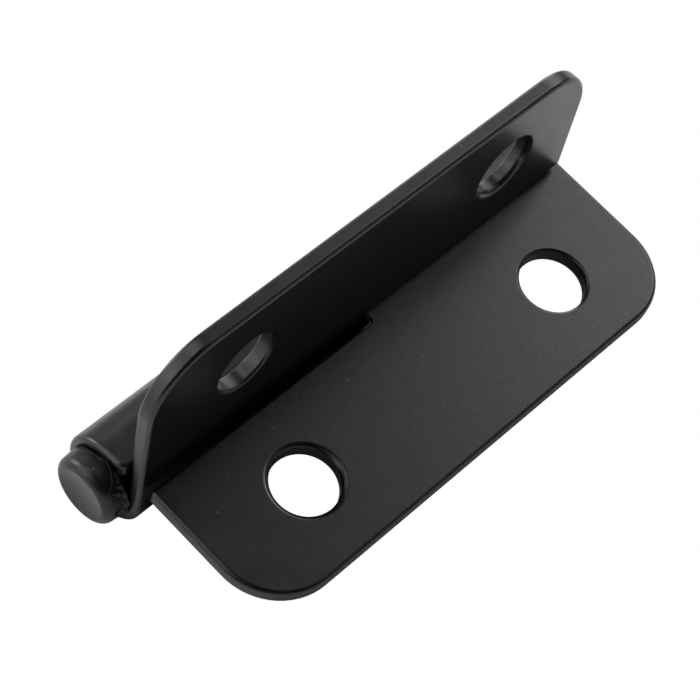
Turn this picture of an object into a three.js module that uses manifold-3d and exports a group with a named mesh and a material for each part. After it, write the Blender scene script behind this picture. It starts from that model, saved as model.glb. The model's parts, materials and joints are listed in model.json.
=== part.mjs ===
// Two-leaf steel door hinge with a headed pin, in millimetres, +Z up.
//
// Both leaves have the same outline: a flat plate with two rounded outer corners
// and two screw holes, whose inner edge is rolled into a knuckle over one half of
// its length and cut back clear of the other leaf's knuckle over the other half.
// The second leaf is turned end for end, and both pairs of holes sit a little
// nearer the pin's plain end. The hinge lies as it rests on a table: on the bottom
// of its barrel and on the free edge of the fixed leaf, with the moving leaf
// standing up.

import * as THREE from 'three';
import { mergeVertices } from 'three/addons/utils/BufferGeometryUtils.js';
import Module from 'manifold-3d';

// Sheet and barrel.
const sheet = 2.0;
const barrelRadius = 5.5;
const boreRadius = barrelRadius - sheet;
const lipGap = 0.7;

// Leaf outline, measured along the pin and outwards from the pin axis.
const leafLength = 68.4;
const leafWidth = 25.3;
const cornerRadius = 8.0;
const edgeRadius = 0.45;
const cutBack = 5.75;
const reliefRadius = cutBack - barrelRadius;

// Screw holes. The one further from the leaf's own knuckle has the more rounded rim.
const holeRadius = 4.05;
const holeSpacing = 41.2;
const holeOffset = 0.6;
const holeFromAxis = 15.45;
const nearRim = 0.45;
const farRim = 0.75;

// Pin.
const runningClearance = 0.05;
const pinRadius = boreRadius - runningClearance;
const headRadius = 4.4;
const headThickness = 2.6;
const headGap = 0.3;
const headRound = 1.3;
const headBackRound = 0.2;
const pinEndChamfer = 0.5;
const pinEndRecess = 0.3;

// How the two leaves sit on the pin.
const axialShift = 0.65;
const endPlay = 0.3;
const openingAngle = 95.6;
const knuckleLength = (leafLength + axialShift - endPlay) / 2;

// Fineness of round shapes.
const barrelSegments = 60;
const rimSegments = 4;
const holeSegments = 48;
const cornerSegments = 12;
const pinSegments = 80;

const wasm = await Module();
wasm.setup();

// A closed solid from a three.js geometry.
function toSolid(geometry) {
  const shell = geometry.clone();
  shell.deleteAttribute('normal');
  shell.deleteAttribute('uv');
  const merged = mergeVertices(shell, 1e-4);
  const triangles = [];
  for (let i = 0; i < merged.index.count; i += 3) {
    const [a, b, c] = [0, 1, 2].map((k) => merged.index.getX(i + k));
    if (a !== b && b !== c && c !== a) triangles.push(a, b, c);
  }
  return new wasm.Manifold(new wasm.Mesh({
    numProp: 3,
    vertProperties: new Float32Array(merged.attributes.position.array),
    triVerts: new Uint32Array(triangles),
  }));
}

// A three.js geometry from a closed solid.
function toGeometry(solid) {
  const mesh = solid.getMesh();
  const geometry = new THREE.BufferGeometry();
  geometry.setAttribute('position', new THREE.BufferAttribute(mesh.vertProperties, 3));
  geometry.setIndex(new THREE.BufferAttribute(mesh.triVerts, 1));
  geometry.computeVertexNormals();
  return geometry;
}

// The points of an arc about (cx, cy), from one angle to another in degrees.
function arcPoints(cx, cy, radius, from, to, segments) {
  const points = [];
  for (let i = 0; i <= segments; i += 1) {
    const angle = THREE.MathUtils.degToRad(from + (to - from) * i / segments);
    points.push(new THREE.Vector2(cx + radius * Math.cos(angle), cy + radius * Math.sin(angle)));
  }
  return points;
}

// End view of a leaf. The front face stands at -barrelRadius, tangent to the
// barrel. The sheet rolls under the pin, up the far side and over the top, and
// its end is a short straight lip that stops just short of the plate's back.
function leafProfile() {
  const front = -barrelRadius;
  const back = front + sheet;
  const lipEnd = back + lipGap;
  return new THREE.Shape([
    ...arcPoints(0, 0, barrelRadius, 180, 450, barrelSegments),
    new THREE.Vector2(lipEnd, barrelRadius),
    new THREE.Vector2(lipEnd, boreRadius),
    ...arcPoints(0, 0, boreRadius, 450, 180, barrelSegments),
    ...arcPoints(back - edgeRadius, leafWidth - edgeRadius, edgeRadius, 0, 90, rimSegments),
    ...arcPoints(front + edgeRadius, leafWidth - edgeRadius, edgeRadius, 90, 180, rimSegments),
  ]);
}

// Front view of a leaf: the whole knuckle at one end, the cut-back at the other,
// with a rounded relief in the inner corner between them.
function leafOutline() {
  const below = -barrelRadius - 1;
  const reliefX = knuckleLength + reliefRadius;
  return new THREE.Shape([
    new THREE.Vector2(0, below),
    new THREE.Vector2(knuckleLength, below),
    ...arcPoints(reliefX, cutBack - reliefRadius, reliefRadius, 180, 90, rimSegments),
    new THREE.Vector2(leafLength, cutBack),
    ...arcPoints(leafLength - cornerRadius, leafWidth - cornerRadius, cornerRadius, 0, 90, cornerSegments),
    ...arcPoints(cornerRadius, leafWidth - cornerRadius, cornerRadius, 90, 180, cornerSegments),
  ]);
}

// The leaf's end view, drawn along its whole length and a little past both ends.
function profileSolid() {
  const overrun = 1;
  const bar = new THREE.ExtrudeGeometry(leafProfile(), {
    depth: leafLength + 2 * overrun,
    bevelEnabled: false,
  });
  bar.translate(0, 0, -overrun);
  const shapeXAlongY = new THREE.Vector3(0, 1, 0);
  const shapeYAlongZ = new THREE.Vector3(0, 0, 1);
  const depthAlongX = new THREE.Vector3(1, 0, 0);
  bar.applyMatrix4(new THREE.Matrix4().makeBasis(shapeXAlongY, shapeYAlongZ, depthAlongX));
  return toSolid(bar);
}

// The leaf's front view, deep enough to hold the barrel.
function outlineSolid() {
  const depth = 2 * (barrelRadius + 1);
  const block = new THREE.ExtrudeGeometry(leafOutline(), { depth, bevelEnabled: false });
  block.rotateX(Math.PI / 2);
  block.translate(0, depth / 2, 0);
  return toSolid(block);
}

// The tool that cuts one screw hole and rounds its rim on the front face.
function holeCutter(x, rim) {
  const front = -barrelRadius;
  const overrun = 1;
  const cutter = new THREE.LatheGeometry([
    new THREE.Vector2(0, front - overrun),
    new THREE.Vector2(holeRadius + rim, front - overrun),
    ...arcPoints(holeRadius + rim, front + rim, rim, 270, 180, rimSegments),
    new THREE.Vector2(holeRadius, front + sheet + overrun),
    new THREE.Vector2(0, front + sheet + overrun),
  ], holeSegments);
  cutter.translate(x, 0, holeFromAxis);
  return toSolid(cutter);
}

// One leaf, pin axis along X with its knuckle's end at x = 0, plate standing up.
// The holes are shifted along the leaf from its middle.
function leafGeometry(holeShift) {
  const middle = leafLength / 2 + holeShift;
  const blank = profileSolid().intersect(outlineSolid());
  const pierced = blank
    .subtract(holeCutter(middle - holeSpacing / 2, nearRim))
    .subtract(holeCutter(middle + holeSpacing / 2, farRim));
  return toGeometry(pierced);
}

// The pin, along X: its head stands in front of the moving leaf's knuckle, and
// its plain end stops just inside the far end of the fixed leaf's knuckle.
function pinGeometry() {
  const headBack = -axialShift - headGap;
  const headFace = headBack - headThickness;
  const end = leafLength - pinEndRecess;
  const pin = new THREE.LatheGeometry([
    new THREE.Vector2(0, headFace),
    ...arcPoints(headRadius - headRound, headFace + headRound, headRound, 270, 360, 2 * rimSegments),
    ...arcPoints(headRadius - headBackRound, headBack - headBackRound, headBackRound, 0, 90, rimSegments),
    new THREE.Vector2(pinRadius, headBack),
    new THREE.Vector2(pinRadius, end - pinEndChamfer),
    new THREE.Vector2(pinRadius - pinEndChamfer, end),
    new THREE.Vector2(0, end),
  ], pinSegments);
  pin.rotateZ(-Math.PI / 2);
  return pin;
}

// Black powder coat on the leaves, and the same coat, rubbed smoother, on the pin.
function coat(roughness) {
  return new THREE.MeshStandardMaterial({ color: 0x121213, roughness, metalness: 0.0 });
}

// The tilt of the fixed leaf when both the barrel and its own rounded free edge
// touch the table.
function restingTilt() {
  const out = leafWidth - edgeRadius;
  const up = boreRadius + edgeRadius;
  return Math.atan2(up, out) + Math.asin((barrelRadius - edgeRadius) / Math.hypot(out, up));
}

function movingLeaf() {
  const leaf = new THREE.Mesh(leafGeometry(holeOffset), coat(0.38));
  leaf.name = 'moving_leaf';
  leaf.position.x = -axialShift;
  leaf.rotation.x = THREE.MathUtils.degToRad(90 - openingAngle);
  return leaf;
}

function fixedLeaf() {
  const leaf = new THREE.Mesh(leafGeometry(-holeOffset), coat(0.38));
  leaf.name = 'fixed_leaf';
  leaf.position.x = leafLength;
  leaf.rotation.set(Math.PI / 2, Math.PI, 0, 'YXZ');
  return leaf;
}

function hingePin() {
  const pin = new THREE.Mesh(pinGeometry(), coat(0.3));
  pin.name = 'hinge_pin';
  return pin;
}

// The assembly on the table, with the middle of its footprint at the origin.
function hinge() {
  const tilted = new THREE.Group();
  tilted.add(movingLeaf(), fixedLeaf(), hingePin());
  tilted.rotation.x = restingTilt();
  tilted.updateMatrixWorld(true);
  const box = new THREE.Box3().setFromObject(tilted, true);
  tilted.position.set(-(box.min.x + box.max.x) / 2, -(box.min.y + box.max.y) / 2, -box.min.z);
  const assembly = new THREE.Group();
  assembly.add(tilted);
  return assembly;
}

export default hinge();
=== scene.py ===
import json
import math

import bpy
import numpy as np
from mathutils import Matrix, Vector, geometry


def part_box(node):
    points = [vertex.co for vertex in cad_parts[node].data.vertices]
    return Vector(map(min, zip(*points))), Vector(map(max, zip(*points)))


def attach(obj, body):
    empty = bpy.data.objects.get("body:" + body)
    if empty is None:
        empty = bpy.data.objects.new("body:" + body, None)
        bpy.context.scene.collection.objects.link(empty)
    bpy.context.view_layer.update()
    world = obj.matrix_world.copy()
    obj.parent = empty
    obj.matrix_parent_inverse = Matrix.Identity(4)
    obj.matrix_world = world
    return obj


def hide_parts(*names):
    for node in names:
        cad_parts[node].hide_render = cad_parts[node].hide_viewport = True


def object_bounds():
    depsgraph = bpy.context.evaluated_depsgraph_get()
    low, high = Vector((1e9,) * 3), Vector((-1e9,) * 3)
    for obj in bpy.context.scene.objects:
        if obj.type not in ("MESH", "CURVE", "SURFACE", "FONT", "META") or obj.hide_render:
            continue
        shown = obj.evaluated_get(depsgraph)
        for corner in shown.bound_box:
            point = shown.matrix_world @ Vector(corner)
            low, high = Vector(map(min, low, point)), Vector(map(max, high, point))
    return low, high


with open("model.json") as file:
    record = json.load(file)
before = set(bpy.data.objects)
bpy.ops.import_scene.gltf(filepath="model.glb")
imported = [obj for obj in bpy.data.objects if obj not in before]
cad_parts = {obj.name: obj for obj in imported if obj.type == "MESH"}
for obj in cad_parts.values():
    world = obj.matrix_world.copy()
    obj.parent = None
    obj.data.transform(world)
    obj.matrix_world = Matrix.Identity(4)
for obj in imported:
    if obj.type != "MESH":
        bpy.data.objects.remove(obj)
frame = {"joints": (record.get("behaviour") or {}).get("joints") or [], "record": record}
cad_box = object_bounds()

MM = 0.001
TINY = 0.01

# Where the two leaves and the pin are: the joint gives the pin axis, and each
# leaf's mount gives the way its front face looks.
PIN_AXIS = Vector(frame["joints"][0]["pos_m"])
MOUNTS = {m["name"]: m for m in frame["record"]["mounts"]}
FIXED_FRONT = Vector(MOUNTS["fixed_leaf_mounting_face"]["axis"]).normalized()
MOVING_FRONT = Vector(MOUNTS["moving_leaf_mounting_face"]["axis"]).normalized()

# Sheet and barrel, in millimetres.
SHEET = 2.0
BARREL_RADIUS = 5.5
BORE_RADIUS = BARREL_RADIUS - SHEET
LIP_GAP = 0.7

# Leaf outline, in millimetres. The inner edge is cut back beside the knuckle.
LEAF_LENGTH = 68.4
LEAF_WIDTH = 25.3
CORNER_RADIUS = 8.0
CUT_BACK = 5.75
CUT_CORNER = 0.65
LIP_CORNER = 1.15
RELIEF_RADIUS = 0.25
AXIAL_SHIFT = 0.65
END_PLAY = 0.3
KNUCKLE_LENGTH = (LEAF_LENGTH + AXIAL_SHIFT - END_PLAY) / 2

# Rounding of the cut edges, in millimetres. The knuckle's outer end was dressed:
# its back corner starts to grow this far before the bend, over this length.
FRONT_ROUND = 0.55
BACK_ROUND = 0.4
KNUCKLE_BACK_ROUND = 1.25
DRESSED_BEFORE_BEND = 13.0
DRESSED_OVER = 10.0

# Screw holes, in millimetres. The one further from the leaf's own knuckle has the
# more rounded rim.
HOLE_RADIUS = 4.05
HOLE_SPACING = 41.2
HOLE_OFFSET = 0.6
HOLE_FROM_AXIS = 15.45
NEAR_RIM = 0.45
FAR_RIM = 0.75
HOLE_BACK_ROUND = 0.2

# Pin, in millimetres. Its head widens a little towards its back, has a dished
# face, and sits off the shank's middle.
RUNNING_CLEARANCE = 0.05
PIN_RADIUS = BORE_RADIUS - RUNNING_CLEARANCE
PIN_END_RECESS = 0.3
PIN_END_CHAMFER = 0.5
PIN_EDGE_ROUND = 0.06
HEAD_RADIUS = 4.33
HEAD_BACK_RADIUS = 4.46
HEAD_SHIFT = (0.34, -0.25)
HEAD_THICKNESS = 2.82
HEAD_GAP = 0.08
HEAD_BACK = -AXIAL_SHIFT - HEAD_GAP
HEAD_ROUND = 1.12
HEAD_BACK_ROUND = 0.15
HEAD_DISH = 0.34

# The coat has torn where the head meets the knuckle, and the loose film lies over
# the head's back edge: how far it reaches, in millimetres, at angles about the pin
# in degrees. It fades out over the last degrees at either end.
FILM_REACH = (
    (96, 0.1), (105, 0.32), (112, 0.1), (122, 0.22), (128, 0.55),
    (138, 0.85), (144, 1.3), (148, 1.85), (156, 1.85), (164, 1.3),
    (180, 1.0), (188, 1.15), (193, 1.8), (205, 1.4), (216, 0.5),
)
FILM_LEAST_REACH = 0.08
FILM_FADE = 12.0

# The film's shape, in millimetres: where it stops short of the knuckle, its
# thickness, the bead along its torn edge, how far it lifts off the head towards the
# knuckle, which is less where it reaches less far, and how deep its two ends, its
# torn edge and its underside lie in the head.
FILM_STOP = -AXIAL_SHIFT - 0.01
FILM_THICKNESS = 0.02
FILM_BEAD = 0.15
FILM_BEAD_FROM_EDGE = 0.07
FILM_BEAD_WIDTH = 0.08
FILM_LIFT = 0.22
FILM_FULL_REACH = 0.7
FILM_LEAST_SHARE = 0.3
FILM_END_SINK = 0.04
FILM_EDGE_SINK = 0.06
FILM_UNDERSIDE = -0.12

# The film's torn edge and its lumps, as waves: height in millimetres, number of
# waves about the pin, radians per millimetre along it, and phase. The lumps grow
# from the torn edge and are full this far from it, in millimetres.
FILM_RAGS = ((0.045, 19, 0.0, 0.0), (0.0315, 41, 0.0, 1.0), (0.018, 73, 0.0, 0.0))
FILM_LUMPS = ((0.05, 11, 2.5, 0.0), (0.04, 23, -4.0, 1.0), (0.03, 17, 6.5, 2.0))
FILM_LUMPS_FULL = 0.3

# Coats: grey level, roughness, specular level, and height of the orange peel in
# metres.
LEAF_COAT = (0.0045, 0.28, 0.5, 0.000006)
PIN_COAT = (0.0045, 0.33, 0.43, 0.000005)
# The torn film's coat is darker and less glossy than the pin's, so the film reads dark in the nook
# at the head's back.
TORN_COAT = (0.0035, 0.34, 0.32, 0.00001)
COAT_IOR = 1.5

# Noise in the coats: scale per metre and detail. The peel is the fine noise and a
# share of the broad one. Where the cloud is thick the coat is rougher, by up to the
# spread.
FINE_NOISE = (3200.0, 2.0)
BROAD_NOISE = (900.0, 1.0)
BROAD_SHARE = 1.1
CLOUD_NOISE = (420.0, 2.0)
CLOUD_RANGE = (0.3, 0.7)
ROUGHNESS_SPREAD = 0.045

# Dust on the coats: cells per metre, with one speck in each, the distances from a
# speck's middle where it starts to fade and where it ends, in cells, and its colour.
DUST_SCALE = 330.0
DUST_SIZE = (0.035, 0.06)
DUST_COLOUR = (0.06, 0.06, 0.055, 1)

# Floor, in metres, and the share of light that it gives back in the open, and the darker
# share close under the barrel, which is painted shade standing in for the shadow there. The
# painted shade starts this far in front of the pin axis, and deepens over this length.
FLOOR_HALF = 2.5
FLOOR_DROP = 0.00002
FLOOR_WHITE = 0.84
FLOOR_SHADE = 0.03
SHADE_REACH = 0.0095
SHADE_FADE = 0.003

# Sky: its own strength and its colour, and soft round lights in it, by azimuth from
# +X, elevation, the angles from the light's middle where it ends and where it is
# full, in degrees, and strength.
SKY_BASE = 0.01
SKY_TINT = (1.0, 0.99, 1.025, 1)
SOFT_BOXES = (
    (-10, 38, 24, 6, 4.3),
    (-22, 48, 20, 6, 0.45),
    (10, 52, 16, 5, 0.4),
    (35, 27, 26, 4, 6.2),
    (-56, 26, 16, 5, 0.45),
    (75, 15, 22, 6, 0.5),
    (91, 81, 16, 6, 3.0),
    (108, 34, 20, 6, 6.5),
    (122, 24, 52, 32, 0.9),
    (156, 64, 20, 6, 1.0),
    (158, 5, 20, 6, 1.3),
    (160, 36, 25, 8, 1.5),
    (180, 50, 30, 10, 0.8),
)

# Camera: azimuth from -Y, elevation and roll in degrees, distance from its aim, the
# aim's place from the middle of the CAD box and the clipping distances in metres,
# and its sensor and lens in millimetres.
CAMERA_ANGLES = (-44.21, 45.73, -3.07)
CAMERA_DISTANCE = 0.2605
CAMERA_AIM = (-0.00474, -0.00038, -0.00357)
CAMERA_SENSOR = 36.0
CAMERA_LENS = 121.5
CAMERA_CLIP = (0.01, 20.0)

# Fineness of the meshes: lengths in millimetres, CORNER_STEP in degrees. A face's
# grid keeps clear of its outline and its holes. The shares are the film's rows, from
# its torn edge to the knuckle.
EDGE_STEP = 0.4
CORNER_STEP = 6.0
GRID_X = 1.3
GRID_S = 0.42
GRID_CLEARANCE = 0.7 * GRID_S
MERGE_DISTANCE = 1e-7
ROUND_STEPS = 5
HOLE_STEPS = 96
PIN_STEPS = 128
DISH_STEPS = 8
HEAD_STEPS = 12
FILM_STEPS = 180
FILM_SHARES = (0.0, 0.02, 0.05, 0.09, 0.14, 0.2, 0.27, 0.35, 0.44, 0.53, 0.62, 0.71, 0.8, 0.9, 1.0)

# The roll, measured along the middle of the sheet.
ROLL_ANGLE = 1.5 * math.pi
ROLL_RADIUS = BARREL_RADIUS - SHEET / 2
ROLL_LENGTH = ROLL_ANGLE * ROLL_RADIUS
LIP_LENGTH = BORE_RADIUS - LIP_GAP
BLANK_WIDTH = LEAF_WIDTH + ROLL_LENGTH + LIP_LENGTH


# ---------------------------------------------------------------- shared shapes

def quarter(steps):
    """The sine and cosine at each step of a quarter turn."""
    angles = [0.5 * math.pi * k / steps for k in range(steps + 1)]
    return [(math.sin(a), math.cos(a)) for a in angles]


def ring_quads(ids):
    """Quads between each closed ring of vertices and the next."""
    quads = []
    for upper, lower in zip(ids[:-1], ids[1:]):
        quads += list(np.stack([upper, lower, np.roll(lower, -1), np.roll(upper, -1)], -1))
    return quads


def build_piece(name, points, normals, faces, place):
    """A mesh object from points in millimetres, with its own smooth normals.
    place maps millimetres to the frame."""
    turn = np.array(place.to_3x3().normalized())
    spots = points @ np.array(place.to_3x3()).T + np.array(place.translation)
    smooth = normals @ turn.T
    smooth /= np.linalg.norm(smooth, axis=1, keepdims=True)
    ordered = []
    for face in faces:
        a, b, c = spots[face[0]], spots[face[1]], spots[face[2]]
        outward = np.cross(b - a, c - a) @ smooth[face].sum(0) > 0
        ordered.append([int(i) for i in (face if outward else face[::-1])])
    mesh = bpy.data.meshes.new(name)
    mesh.from_pydata(spots.tolist(), [], ordered)
    mesh.shade_smooth()
    mesh.normals_split_custom_set_from_vertices(smooth.tolist())
    mesh.validate()
    piece = bpy.data.objects.new(name, mesh)
    bpy.context.scene.collection.objects.link(piece)
    return piece


# ---------------------------------------------------------------- leaves

def bend(x, s, depth):
    """Folds the flat blank into a leaf: x along the pin, s from the free edge, depth
    below the front face. Returns the points, the front face's normals and the
    direction of growing s."""
    x, s, depth = np.broadcast_arrays(*(np.asarray(v, float) for v in (x, s, depth)))
    phi = np.clip((s - LEAF_WIDTH) / ROLL_RADIUS, 0, ROLL_ANGLE)
    radius = BARREL_RADIUS - depth
    flat = np.clip(LEAF_WIDTH - s, 0, None)
    lip = np.clip(s - LEAF_WIDTH - ROLL_LENGTH, 0, None)
    points = np.stack([x, -radius * np.cos(phi) - lip, -radius * np.sin(phi) + flat], -1)
    zero = np.zeros_like(phi)
    outward = np.stack([zero, -np.cos(phi), -np.sin(phi)], -1)
    along = np.stack([zero, np.sin(phi), -np.cos(phi)], -1)
    return points, outward, along


def straight(a, b, normal):
    """Points from a up to just before b, with one normal."""
    a, b = np.array(a, float), np.array(b, float)
    count = max(1, int(math.ceil(np.linalg.norm(b - a) / EDGE_STEP)))
    t = np.arange(count)[:, None] / count
    return np.hstack([a + (b - a) * t, np.tile(normal, (count, 1))])


def corner(centre, radius, start, turn, side=1):
    """Points of an arc of the outline, up to just before its end. side is -1 in an
    inner corner, where the normal looks at the centre."""
    count = max(2, int(math.ceil(abs(turn) / CORNER_STEP)))
    angle = np.radians(start + turn * np.arange(count) / count)
    radial = np.stack([np.cos(angle), np.sin(angle)], -1)
    return np.hstack([np.array(centre) + radius * radial, side * radial])


def blank_outline():
    """The blank's outline, anticlockwise, as rows of x, s and the outward normal."""
    length, top, knuckle = LEAF_LENGTH, BLANK_WIDTH, KNUCKLE_LENGTH
    big, small, roll, relief = CORNER_RADIUS, CUT_CORNER, LIP_CORNER, RELIEF_RADIUS
    cut = LEAF_WIDTH - CUT_BACK
    return np.vstack([
        straight((big, 0), (length - big, 0), (0, -1)),
        corner((length - big, big), big, -90, 90),
        straight((length, big), (length, cut - small), (1, 0)),
        corner((length - small, cut - small), small, 0, 90),
        straight((length - small, cut), (knuckle + relief, cut), (0, 1)),
        corner((knuckle + relief, cut + relief), relief, 270, -90, side=-1),
        straight((knuckle, cut + relief), (knuckle, top - roll), (1, 0)),
        corner((knuckle - roll, top - roll), roll, 0, 90),
        straight((knuckle - roll, top), (roll, top), (0, 1)),
        corner((roll, top - roll), roll, 90, 90),
        straight((0, top - roll), (0, big), (-1, 0)),
        corner((big, big), big, 180, 90),
    ])


def hole_outline(x):
    """A hole's outline in the blank, with normals that look at its centre."""
    angle = -2 * math.pi * np.arange(HOLE_STEPS) / HOLE_STEPS
    radial = np.stack([np.cos(angle), np.sin(angle)], -1)
    centre = np.array([x, LEAF_WIDTH - HOLE_FROM_AXIS])
    return np.hstack([centre + HOLE_RADIUS * radial, -radial])


def back_rounds(outline):
    """The radius of the cut edge's back corner, larger at the knuckle's outer end."""
    at_end = (outline[:, 0] < TINY) & (outline[:, 2] < TINY - 1)
    share = np.clip((outline[:, 1] - LEAF_WIDTH + DRESSED_BEFORE_BEND) / DRESSED_OVER, 0, 1)
    eased = share * share * (3 - 2 * share)
    return BACK_ROUND + (KNUCKLE_BACK_ROUND - BACK_ROUND) * at_end * eased


def edge_section(front, back):
    """The rounded section of a cut edge, from front face to back: inset, depth, and
    the normal's share across the edge and out of the front face."""
    rows = []
    for sine, cosine in quarter(ROUND_STEPS):
        rows.append((front * (1 - sine), front * (1 - cosine), sine, cosine))
    for sine, cosine in quarter(ROUND_STEPS):
        rows.append((back * (1 - cosine), SHEET - back + back * sine, cosine, -sine))
    return rows


def inset_by(outline, inset):
    """An outline's points, moved inwards against their normals."""
    return outline[:, :2] - np.reshape(inset, (-1, 1)) * outline[:, 2:]


def inside(points, loop):
    """Which points lie inside a closed loop."""
    x, y = points[:, :1], points[:, 1:]
    x0, y0 = loop[:, 0], loop[:, 1]
    x1, y1 = np.roll(x0, -1), np.roll(y0, -1)
    crosses = (y0 > y) != (y1 > y)
    rise = np.where(y1 == y0, 1.0, y1 - y0)
    return (crosses & (x < x0 + (y - y0) * (x1 - x0) / rise)).sum(1) % 2 == 1


def on_face(points, loops):
    """Which points lie inside the first loop, the outline, and outside the holes."""
    keep = inside(points, loops[0])
    for hole in loops[1:]:
        keep &= ~inside(points, hole)
    return keep


def clear_of(points, loop):
    """Which points of the grid keep clear of every point of the loop."""
    return np.array([np.hypot(*(loop - p).T).min() > GRID_CLEARANCE for p in points])


def face_grid(loops):
    """Evenly spaced points of the blank, inside its outline and outside its holes."""
    xs = np.arange(GRID_X / 2, LEAF_LENGTH, GRID_X)
    ss = np.arange(GRID_S / 2, BLANK_WIDTH, GRID_S)
    grid = np.stack(np.meshgrid(xs, ss), -1).reshape(-1, 2)
    grid = grid[on_face(grid, loops)]
    for loop in loops:
        grid = grid[clear_of(grid, loop)]
    return grid


def fill_face(loops, grid):
    """Triangles over a face between its outline and its holes: indices into the
    loops' points, then the grid's. It is stretched so that the grid is square."""
    points = np.vstack([*loops, grid])
    edges, start = [], 0
    for loop in loops:
        count = len(loop)
        edges += [(start + i, start + (i + 1) % count) for i in range(count)]
        start += count
    stretch = np.array([1.0, GRID_X / GRID_S])
    flat = [Vector(p) for p in points * stretch]
    _, _, triangles, origin, _, _ = geometry.delaunay_2d_cdt(flat, edges, [], 0, MERGE_DISTANCE)
    triangles = np.array([[origin[i][0] for i in t] for t in triangles])
    return triangles[on_face(points[triangles].mean(1), loops)]


def leaf_surface(hole_shift):
    """One leaf's vertices, normals and faces, in its own frame. The holes are
    shifted along it from its middle."""
    middle = LEAF_LENGTH / 2 + hole_shift
    blank = blank_outline()
    rims = [
        (blank, FRONT_ROUND, back_rounds(blank)),
        (hole_outline(middle - HOLE_SPACING / 2), NEAR_RIM, HOLE_BACK_ROUND),
        (hole_outline(middle + HOLE_SPACING / 2), FAR_RIM, HOLE_BACK_ROUND),
    ]
    points, normals, faces, fronts, backs = [], [], [], [], []
    total = 0
    for outline, front, back in rims:
        section = edge_section(front, back)
        for inset, depth, across_share, out_share in section:
            plan = inset_by(outline, inset)
            place, outward, along = bend(plan[:, 0], plan[:, 1], depth)
            across = outline[:, 2:3] * np.array([1.0, 0, 0]) + outline[:, 3:4] * along
            points.append(place)
            normals.append(across_share * across + out_share * outward)
        ids = total + np.arange(len(section) * len(outline)).reshape(len(section), -1)
        faces += ring_quads(ids)
        fronts.append((inset_by(outline, section[0][0]), ids[0]))
        backs.append((inset_by(outline, section[-1][0]), ids[-1]))
        total += ids.size
    for rings, depth, sign in ((fronts, 0.0, 1), (backs, SHEET, -1)):
        loops = [loop for loop, _ in rings]
        grid = face_grid(loops)
        place, outward, _ = bend(grid[:, 0], grid[:, 1], depth)
        points.append(place)
        normals.append(sign * outward)
        lookup = np.concatenate([*(ids for _, ids in rings), total + np.arange(len(grid))])
        faces += list(lookup[fill_face(loops, grid)])
        total += len(grid)
    return np.vstack(points), np.vstack(normals), faces


def leaf_place(front, start_x, direction):
    """The matrix from a leaf's own millimetres to the frame."""
    x = Vector((direction, 0, 0))
    y = -front
    z = x.cross(y)
    place = Matrix((x * MM, y * MM, z * MM)).transposed().to_4x4()
    place.translation = (start_x, PIN_AXIS.y, PIN_AXIS.z)
    return place


# ---------------------------------------------------------------- pin

def head_wall(x):
    """The head's radius at x: it widens from its rounded shoulder to its back."""
    shoulder = HEAD_BACK - HEAD_THICKNESS + HEAD_ROUND
    share = np.clip((x - shoulder) / (HEAD_BACK - shoulder), 0, 1)
    return HEAD_RADIUS + (HEAD_BACK_RADIUS - HEAD_RADIUS) * share


def pin_section():
    """The pin's half section, from the middle of its head's face: x, radius, the
    normal's share along x and outwards, and 1 on the head, 0 on the shank."""
    face = HEAD_BACK - HEAD_THICKNESS
    end = LEAF_LENGTH - PIN_END_RECESS
    chamfer = end - PIN_END_CHAMFER
    end_radius = PIN_RADIUS - PIN_END_CHAMFER
    flat = HEAD_RADIUS - HEAD_ROUND
    slope = math.sqrt(0.5)
    soft, slant = PIN_EDGE_ROUND, PIN_EDGE_ROUND * slope
    rows = []
    for k in range(DISH_STEPS + 1):
        share = k / DISH_STEPS
        rows.append((face + HEAD_DISH * (1 - share ** 2), flat * share,
                     -1.0, -2 * HEAD_DISH * share / flat, 1))
    for sine, cosine in quarter(HEAD_STEPS)[1:]:
        rows.append((face + HEAD_ROUND * (1 - cosine), flat + HEAD_ROUND * sine,
                     -cosine, sine, 1))
    for sine, cosine in quarter(ROUND_STEPS):
        rows.append((HEAD_BACK - HEAD_BACK_ROUND * (1 - sine),
                     HEAD_BACK_RADIUS - HEAD_BACK_ROUND * (1 - cosine), sine, cosine, 1))
    return rows + [
        (HEAD_BACK, PIN_RADIUS + soft, 1.0, 0.0, 0),
        (HEAD_BACK + soft, PIN_RADIUS, 0.0, 1.0, 0),
        (chamfer - soft, PIN_RADIUS, 0.0, 1.0, 0),
        (chamfer + slant, PIN_RADIUS - slant, slope, slope, 0),
        (end - slant, end_radius + slant, slope, slope, 0),
        (end, end_radius - soft, 1.0, 0.0, 0),
        (end, 0.0, 1.0, 0.0, 0),
    ]


def pin_surface():
    """The pin turned about its axis: its vertices, normals and faces."""
    rows = pin_section()
    angle = 2 * math.pi * np.arange(PIN_STEPS) / PIN_STEPS
    around = np.stack([np.zeros(PIN_STEPS), np.cos(angle), np.sin(angle)], -1)
    axial = np.array([1.0, 0, 0])
    shift = np.array([0.0, *HEAD_SHIFT])
    points = [(rows[0][0] * axial + shift)[None]]
    normals = [np.array([[rows[0][2], 0, 0]])]
    for x, radius, x_share, out_share, on_head in rows[1:-1]:
        points.append(x * axial + radius * around + on_head * shift)
        normals.append(x_share * axial + out_share * around)
    points.append(np.array([[rows[-1][0], 0, 0]]))
    normals.append(np.array([[rows[-1][2], 0, 0]]))
    rings = len(rows) - 2
    ids = 1 + np.arange(rings * PIN_STEPS).reshape(rings, PIN_STEPS)
    faces = ring_quads(ids)
    for middle, ring in ((0, ids[0]), (1 + ids.size, ids[-1])):
        faces += list(np.stack([np.full_like(ring, middle), ring, np.roll(ring, -1)], -1))
    return np.vstack(points), np.vstack(normals), faces


def waves(rows, x, turn):
    """The sum of the rows' waves at x, in millimetres, and turn, in radians."""
    return sum(height * np.sin(about * turn + along * x + phase)
               for height, about, along, phase in rows)


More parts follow.
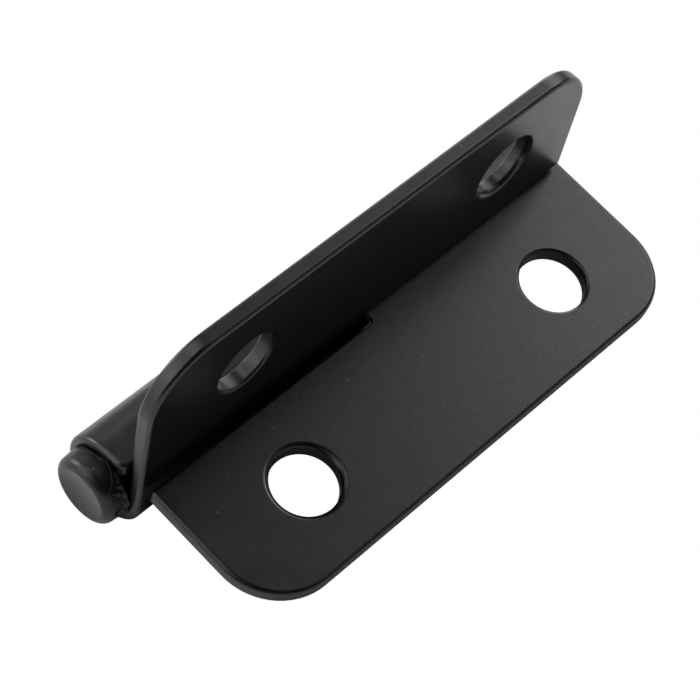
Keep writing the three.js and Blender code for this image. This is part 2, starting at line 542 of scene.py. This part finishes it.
def film_surface():
    """The torn film as a closed lumpy strip around the head's back: its vertices,
    normals and faces."""
    angle = np.linspace(FILM_REACH[0][0], FILM_REACH[-1][0], FILM_STEPS)
    turn = np.radians(angle)
    reach = np.interp(angle, *zip(*FILM_REACH)) + waves(FILM_RAGS, 0.0, turn)
    reach = np.maximum(reach, FILM_LEAST_REACH)
    from_end = np.minimum(angle - angle[0], angle[-1] - angle)
    fade = np.clip(from_end / FILM_FADE, 0, 1)
    lift_share = np.clip(reach / FILM_FULL_REACH, FILM_LEAST_SHARE, 1)
    rows = []
    for share in FILM_SHARES:
        x = FILM_STOP - reach * (1 - share)
        from_edge = reach * share
        bead = FILM_BEAD * np.exp(-((from_edge - FILM_BEAD_FROM_EDGE) / FILM_BEAD_WIDTH) ** 2)
        swell = np.clip(from_edge / FILM_LUMPS_FULL, 0, 1) * waves(FILM_LUMPS, x, turn)
        lift = FILM_THICKNESS + bead + FILM_LIFT * share ** 2 * lift_share + swell
        sink = FILM_END_SINK * (1 - fade) + (FILM_EDGE_SINK if share == 0 else 0.0)
        rows.append((x, lift * fade - sink))
    underside = np.full_like(turn, FILM_UNDERSIDE)
    rows.append((np.full_like(turn, FILM_STOP), underside))
    rows.append((FILM_STOP - reach, underside))
    shift = np.array([0.0, *HEAD_SHIFT])
    points = []
    for x, lift in rows:
        radius = head_wall(x) + lift
        points.append(np.stack([x, radius * np.cos(turn), radius * np.sin(turn)], -1) + shift)
    ids = np.arange(len(rows) * FILM_STEPS).reshape(len(rows), FILM_STEPS)
    faces = []
    for upper, lower in zip(ids, np.roll(ids, -1, axis=0)):
        faces += list(np.stack([upper[:-1], lower[:-1], lower[1:], upper[1:]], -1))
    faces.append(ids[:, 0])
    faces.append(ids[::-1, -1])
    spots = np.vstack(points)
    return spots, mean_normals(spots, faces), faces


def mean_normals(points, faces):
    """Each vertex's normal as the mean of its faces'."""
    normals = np.zeros_like(points)
    for face in faces:
        a, b, c = points[face[0]], points[face[1]], points[face[2]]
        normals[face] += np.cross(b - a, c - a)
    return normals


def pin_place():
    """The matrix from the pin's own millimetres to the frame. The pin's x starts at
    the fixed leaf's end, on the side of the pin's head."""
    place = Matrix.Diagonal((MM, MM, MM, 1))
    place.translation = (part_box("fixed_leaf")[0].x, PIN_AXIS.y, PIN_AXIS.z)
    return place


# ---------------------------------------------------------------- materials

def add(tree, kind, **settings):
    """A new shader node with its settings."""
    node = tree.nodes.new(kind)
    for key, value in settings.items():
        setattr(node, key, value)
    return node


def noise(tree, place, scale, detail):
    """The output of a noise texture."""
    node = add(tree, "ShaderNodeTexNoise")
    node.inputs["Scale"].default_value = scale
    node.inputs["Detail"].default_value = detail
    tree.links.new(place, node.inputs["Vector"])
    return node.outputs["Fac"]


def map_range(tree, value, source, target, kind="LINEAR"):
    """A value moved from one range to another, and kept inside it."""
    node = add(tree, "ShaderNodeMapRange", interpolation_type=kind)
    for socket, number in zip(node.inputs[1:5], (*source, *target)):
        socket.default_value = number
    tree.links.new(value, node.inputs[0])
    return node.outputs[0]


def peel_normal(tree, place, height):
    """The normal of a surface with orange peel."""
    mixed = add(tree, "ShaderNodeMath", operation="MULTIPLY_ADD")
    tree.links.new(noise(tree, place, *BROAD_NOISE), mixed.inputs[0])
    mixed.inputs[1].default_value = BROAD_SHARE
    tree.links.new(noise(tree, place, *FINE_NOISE), mixed.inputs[2])
    bump = add(tree, "ShaderNodeBump")
    bump.inputs["Distance"].default_value = height
    tree.links.new(mixed.outputs[0], bump.inputs["Height"])
    return bump.outputs["Normal"]


def dusty_colour(tree, place, grey):
    """A plain grey with a few specks of dust."""
    specks = add(tree, "ShaderNodeTexVoronoi", feature="F1")
    specks.inputs["Scale"].default_value = DUST_SCALE
    tree.links.new(place, specks.inputs["Vector"])
    tint = add(tree, "ShaderNodeMix", data_type="RGBA")
    dust = map_range(tree, specks.outputs["Distance"], DUST_SIZE, (1.0, 0.0))
    tree.links.new(dust, tint.inputs["Factor"])
    tint.inputs["A"].default_value = (grey, grey, grey, 1)
    tint.inputs["B"].default_value = DUST_COLOUR
    return tint.outputs["Result"]


def coat_material(name, grey, roughness, gloss, peel):
    """Semi-gloss black coat with orange peel, uneven gloss and a little dust."""
    material = bpy.data.materials.new(name)
    material.use_nodes = True
    tree = material.node_tree
    shader = tree.nodes["Principled BSDF"]
    place = add(tree, "ShaderNodeTexCoord").outputs["Object"]
    cloud = noise(tree, place, *CLOUD_NOISE)
    uneven = map_range(tree, cloud, CLOUD_RANGE, (roughness, roughness + ROUGHNESS_SPREAD))
    tree.links.new(dusty_colour(tree, place, grey), shader.inputs["Base Color"])
    tree.links.new(uneven, shader.inputs["Roughness"])
    tree.links.new(peel_normal(tree, place, peel), shader.inputs["Normal"])
    shader.inputs["Specular IOR Level"].default_value = gloss
    shader.inputs["IOR"].default_value = COAT_IOR
    return material


# ---------------------------------------------------------------- stage

def painted_floor_shade(tree):
    """How white the floor is: darkened by painted shade close under the barrel, standing in
    for the shadow where little light comes, and white everywhere else."""
    low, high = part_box("fixed_leaf")
    front = PIN_AXIS.y - SHADE_REACH
    offset = add(tree, "ShaderNodeVectorMath", operation="SUBTRACT")
    tree.links.new(add(tree, "ShaderNodeTexCoord").outputs["Object"], offset.inputs[0])
    offset.inputs[1].default_value = ((low.x + high.x) / 2, (front + high.y) / 2, 0)
    spread = add(tree, "ShaderNodeVectorMath", operation="ABSOLUTE")
    tree.links.new(offset.outputs[0], spread.inputs[0])
    beyond = add(tree, "ShaderNodeVectorMath", operation="SUBTRACT")
    tree.links.new(spread.outputs[0], beyond.inputs[0])
    beyond.inputs[1].default_value = ((high.x - low.x) / 2, (high.y - front) / 2, 0)
    parts = add(tree, "ShaderNodeSeparateXYZ")
    tree.links.new(beyond.outputs[0], parts.inputs[0])
    furthest = add(tree, "ShaderNodeMath", operation="MAXIMUM")
    tree.links.new(parts.outputs[0], furthest.inputs[0])
    tree.links.new(parts.outputs[1], furthest.inputs[1])
    # Painted shade: the floor's colour falls to FLOOR_SHADE close under the barrel, standing in
    # for the shadow there.
    return map_range(tree, furthest.outputs[0], (-SHADE_FADE, 0.0), (FLOOR_SHADE, FLOOR_WHITE),
                     "SMOOTHSTEP")


def floor_material():
    """White paper with painted shade close under the barrel, which takes light and shadow
    in the coat's reflections but is seen itself as plain white."""
    material = bpy.data.materials.new("floor_paper_painted_shade")
    material.use_nodes = True
    tree = material.node_tree
    tree.nodes.remove(tree.nodes["Principled BSDF"])
    paper = add(tree, "ShaderNodeBsdfDiffuse")
    tree.links.new(painted_floor_shade(tree), paper.inputs["Color"])
    plain = add(tree, "ShaderNodeEmission")
    mix = add(tree, "ShaderNodeMixShader")
    tree.links.new(add(tree, "ShaderNodeLightPath").outputs["Is Camera Ray"], mix.inputs["Fac"])
    tree.links.new(paper.outputs[0], mix.inputs[1])
    tree.links.new(plain.outputs[0], mix.inputs[2])
    tree.links.new(mix.outputs[0], tree.nodes["Material Output"].inputs["Surface"])
    return material


def make_floor():
    """A square floor, a hair below the hinge's lowest points."""
    corners = [(-1, -1), (1, -1), (1, 1), (-1, 1)]
    mesh = bpy.data.meshes.new("floor")
    mesh.from_pydata([(x * FLOOR_HALF, y * FLOOR_HALF, 0) for x, y in corners], [], [(0, 1, 2, 3)])
    mesh.materials.append(floor_material())
    floor = bpy.data.objects.new("floor", mesh)
    bpy.context.scene.collection.objects.link(floor)
    floor.location.z = -FLOOR_DROP


def soft_box(tree, direction, azimuth, elevation, outer, inner, strength):
    """A round patch of light in the sky: full inside its inner angle and gone outside
    its outer one, all in degrees."""
    turn, rise = math.radians(azimuth), math.radians(elevation)
    level = math.cos(rise)
    dot = add(tree, "ShaderNodeVectorMath", operation="DOT_PRODUCT")
    tree.links.new(direction, dot.inputs[0])
    dot.inputs[1].default_value = (level * math.cos(turn), level * math.sin(turn), math.sin(rise))
    angle = add(tree, "ShaderNodeMath", operation="ARCCOSINE")
    tree.links.new(dot.outputs["Value"], angle.inputs[0])
    return map_range(tree, angle.outputs[0], (math.radians(inner), math.radians(outer)),
                     (strength, 0.0), "SMOOTHSTEP")


def make_sky():
    """A dark studio with soft round lights. The camera sees it as plain white, like
    the floor."""
    world = bpy.data.worlds.new("studio")
    world.use_nodes = True
    tree = world.node_tree
    background = tree.nodes["Background"]
    direction = add(tree, "ShaderNodeTexCoord").outputs["Generated"]
    total = None
    for azimuth, elevation, outer, inner, strength in SOFT_BOXES:
        part = soft_box(tree, direction, azimuth, elevation, outer, inner, strength)
        plus = add(tree, "ShaderNodeMath", operation="ADD")
        tree.links.new(part, plus.inputs[0])
        if total is None:
            plus.inputs[1].default_value = SKY_BASE
        else:
            tree.links.new(total, plus.inputs[1])
        total = plus.outputs[0]
    seen = add(tree, "ShaderNodeMath", operation="MAXIMUM")
    tree.links.new(total, seen.inputs[0])
    tree.links.new(add(tree, "ShaderNodeLightPath").outputs["Is Camera Ray"], seen.inputs[1])
    tree.links.new(seen.outputs[0], background.inputs["Strength"])
    background.inputs["Color"].default_value = SKY_TINT
    bpy.context.scene.world = world


def make_camera():
    """The camera looks down at the hinge from its head end, over the fixed leaf's
    free edge."""
    azimuth, elevation, roll = (math.radians(a) for a in CAMERA_ANGLES)
    aim = (cad_box[0] + cad_box[1]) / 2 + Vector(CAMERA_AIM)
    reach = math.cos(elevation)
    back = Vector((math.sin(azimuth) * reach, -math.cos(azimuth) * reach, math.sin(elevation)))
    level = (-back).cross(Vector((0, 0, 1))).normalized()
    upright = level.cross(-back)
    right = level * math.cos(roll) + upright * math.sin(roll)
    up = upright * math.cos(roll) - level * math.sin(roll)
    data = bpy.data.cameras.new("camera")
    data.sensor_width = CAMERA_SENSOR
    data.lens = CAMERA_LENS
    data.clip_start, data.clip_end = CAMERA_CLIP
    camera = bpy.data.objects.new("camera", data)
    turned = Matrix((right, up, back)).transposed().to_4x4()
    camera.matrix_world = Matrix.Translation(aim + back * CAMERA_DISTANCE) @ turned
    bpy.context.scene.collection.objects.link(camera)
    bpy.context.scene.camera = camera


# ---------------------------------------------------------------- assembly

def dress(piece, material, body, node):
    """Gives a piece its coat and its body, in place of its CAD node."""
    piece.data.materials.append(material)
    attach(piece, body)
    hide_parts(node)


def make_hinge():
    """Both leaves, the pin and the torn film at its head."""
    leaf_coat = coat_material("leaf_coat", *LEAF_COAT)
    pin_coat = coat_material("pin_coat", *PIN_COAT)
    torn_coat = coat_material("torn_coat", *TORN_COAT)
    moving = build_piece("moving_leaf_coated", *leaf_surface(HOLE_OFFSET),
                         leaf_place(MOVING_FRONT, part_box("moving_leaf")[0].x, 1))
    fixed = build_piece("fixed_leaf_coated", *leaf_surface(-HOLE_OFFSET),
                        leaf_place(FIXED_FRONT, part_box("fixed_leaf")[1].x, -1))
    pin = build_piece("hinge_pin_coated", *pin_surface(), pin_place())
    dress(moving, leaf_coat, "moving", "moving_leaf")
    dress(fixed, leaf_coat, "fixed", "fixed_leaf")
    dress(pin, pin_coat, "fixed", "hinge_pin")
    film = build_piece("pin_coat_film", *film_surface(), pin_place())
    film.data.materials.append(torn_coat)
    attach(film, "fixed")


make_camera()
make_floor()
make_sky()
make_hinge()
bpy.context.scene.view_settings.view_transform = "Standard"
